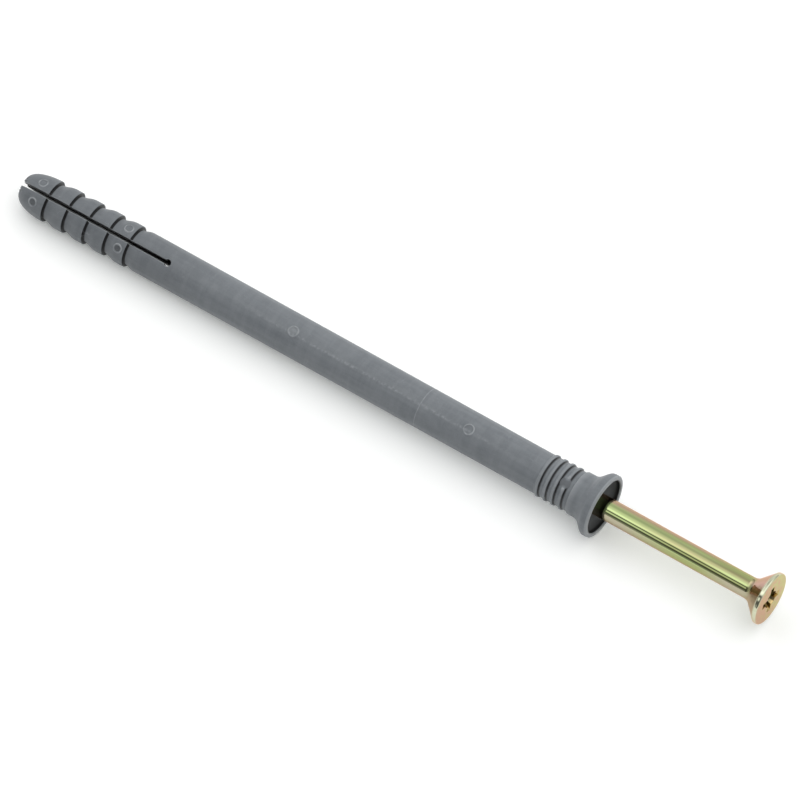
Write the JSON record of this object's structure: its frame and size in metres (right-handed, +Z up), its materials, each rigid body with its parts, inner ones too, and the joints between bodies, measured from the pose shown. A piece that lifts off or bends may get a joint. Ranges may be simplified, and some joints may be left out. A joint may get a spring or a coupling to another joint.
{
  "type": "hammer fixing plug",
  "caption": "Split nylon sleeve with a barbed expansion end, ring ribs and a flared collar, and a countersunk drive nail set in it that spreads the legs as it is hammered home.",
  "frame": {"origin": "on the plug's axis in the plane of the collar's rim, which ends flush with the face of what is fixed", "axes": "the plug lies along X, with the nail's head towards +X and the sleeve's tip towards -X; +Z is up as it lies"},
  "size_m": [0.2053, 0.0158, 0.016],
  "materials": {
    "nylon": "satin",
    "zinc_steel": "satin"
  },
  "bodies": {
    "sleeve": {"sleeve": "nylon"},
    "nail": {"nail": "zinc_steel"}
  },
  "joints": [
    {"name": "nail_drive", "type": "slide", "parent": "sleeve", "child": "nail", "axis": [-1, 0, 0], "range_m": [0, 0.0453], "deforming": ["sleeve"]}
  ]
}
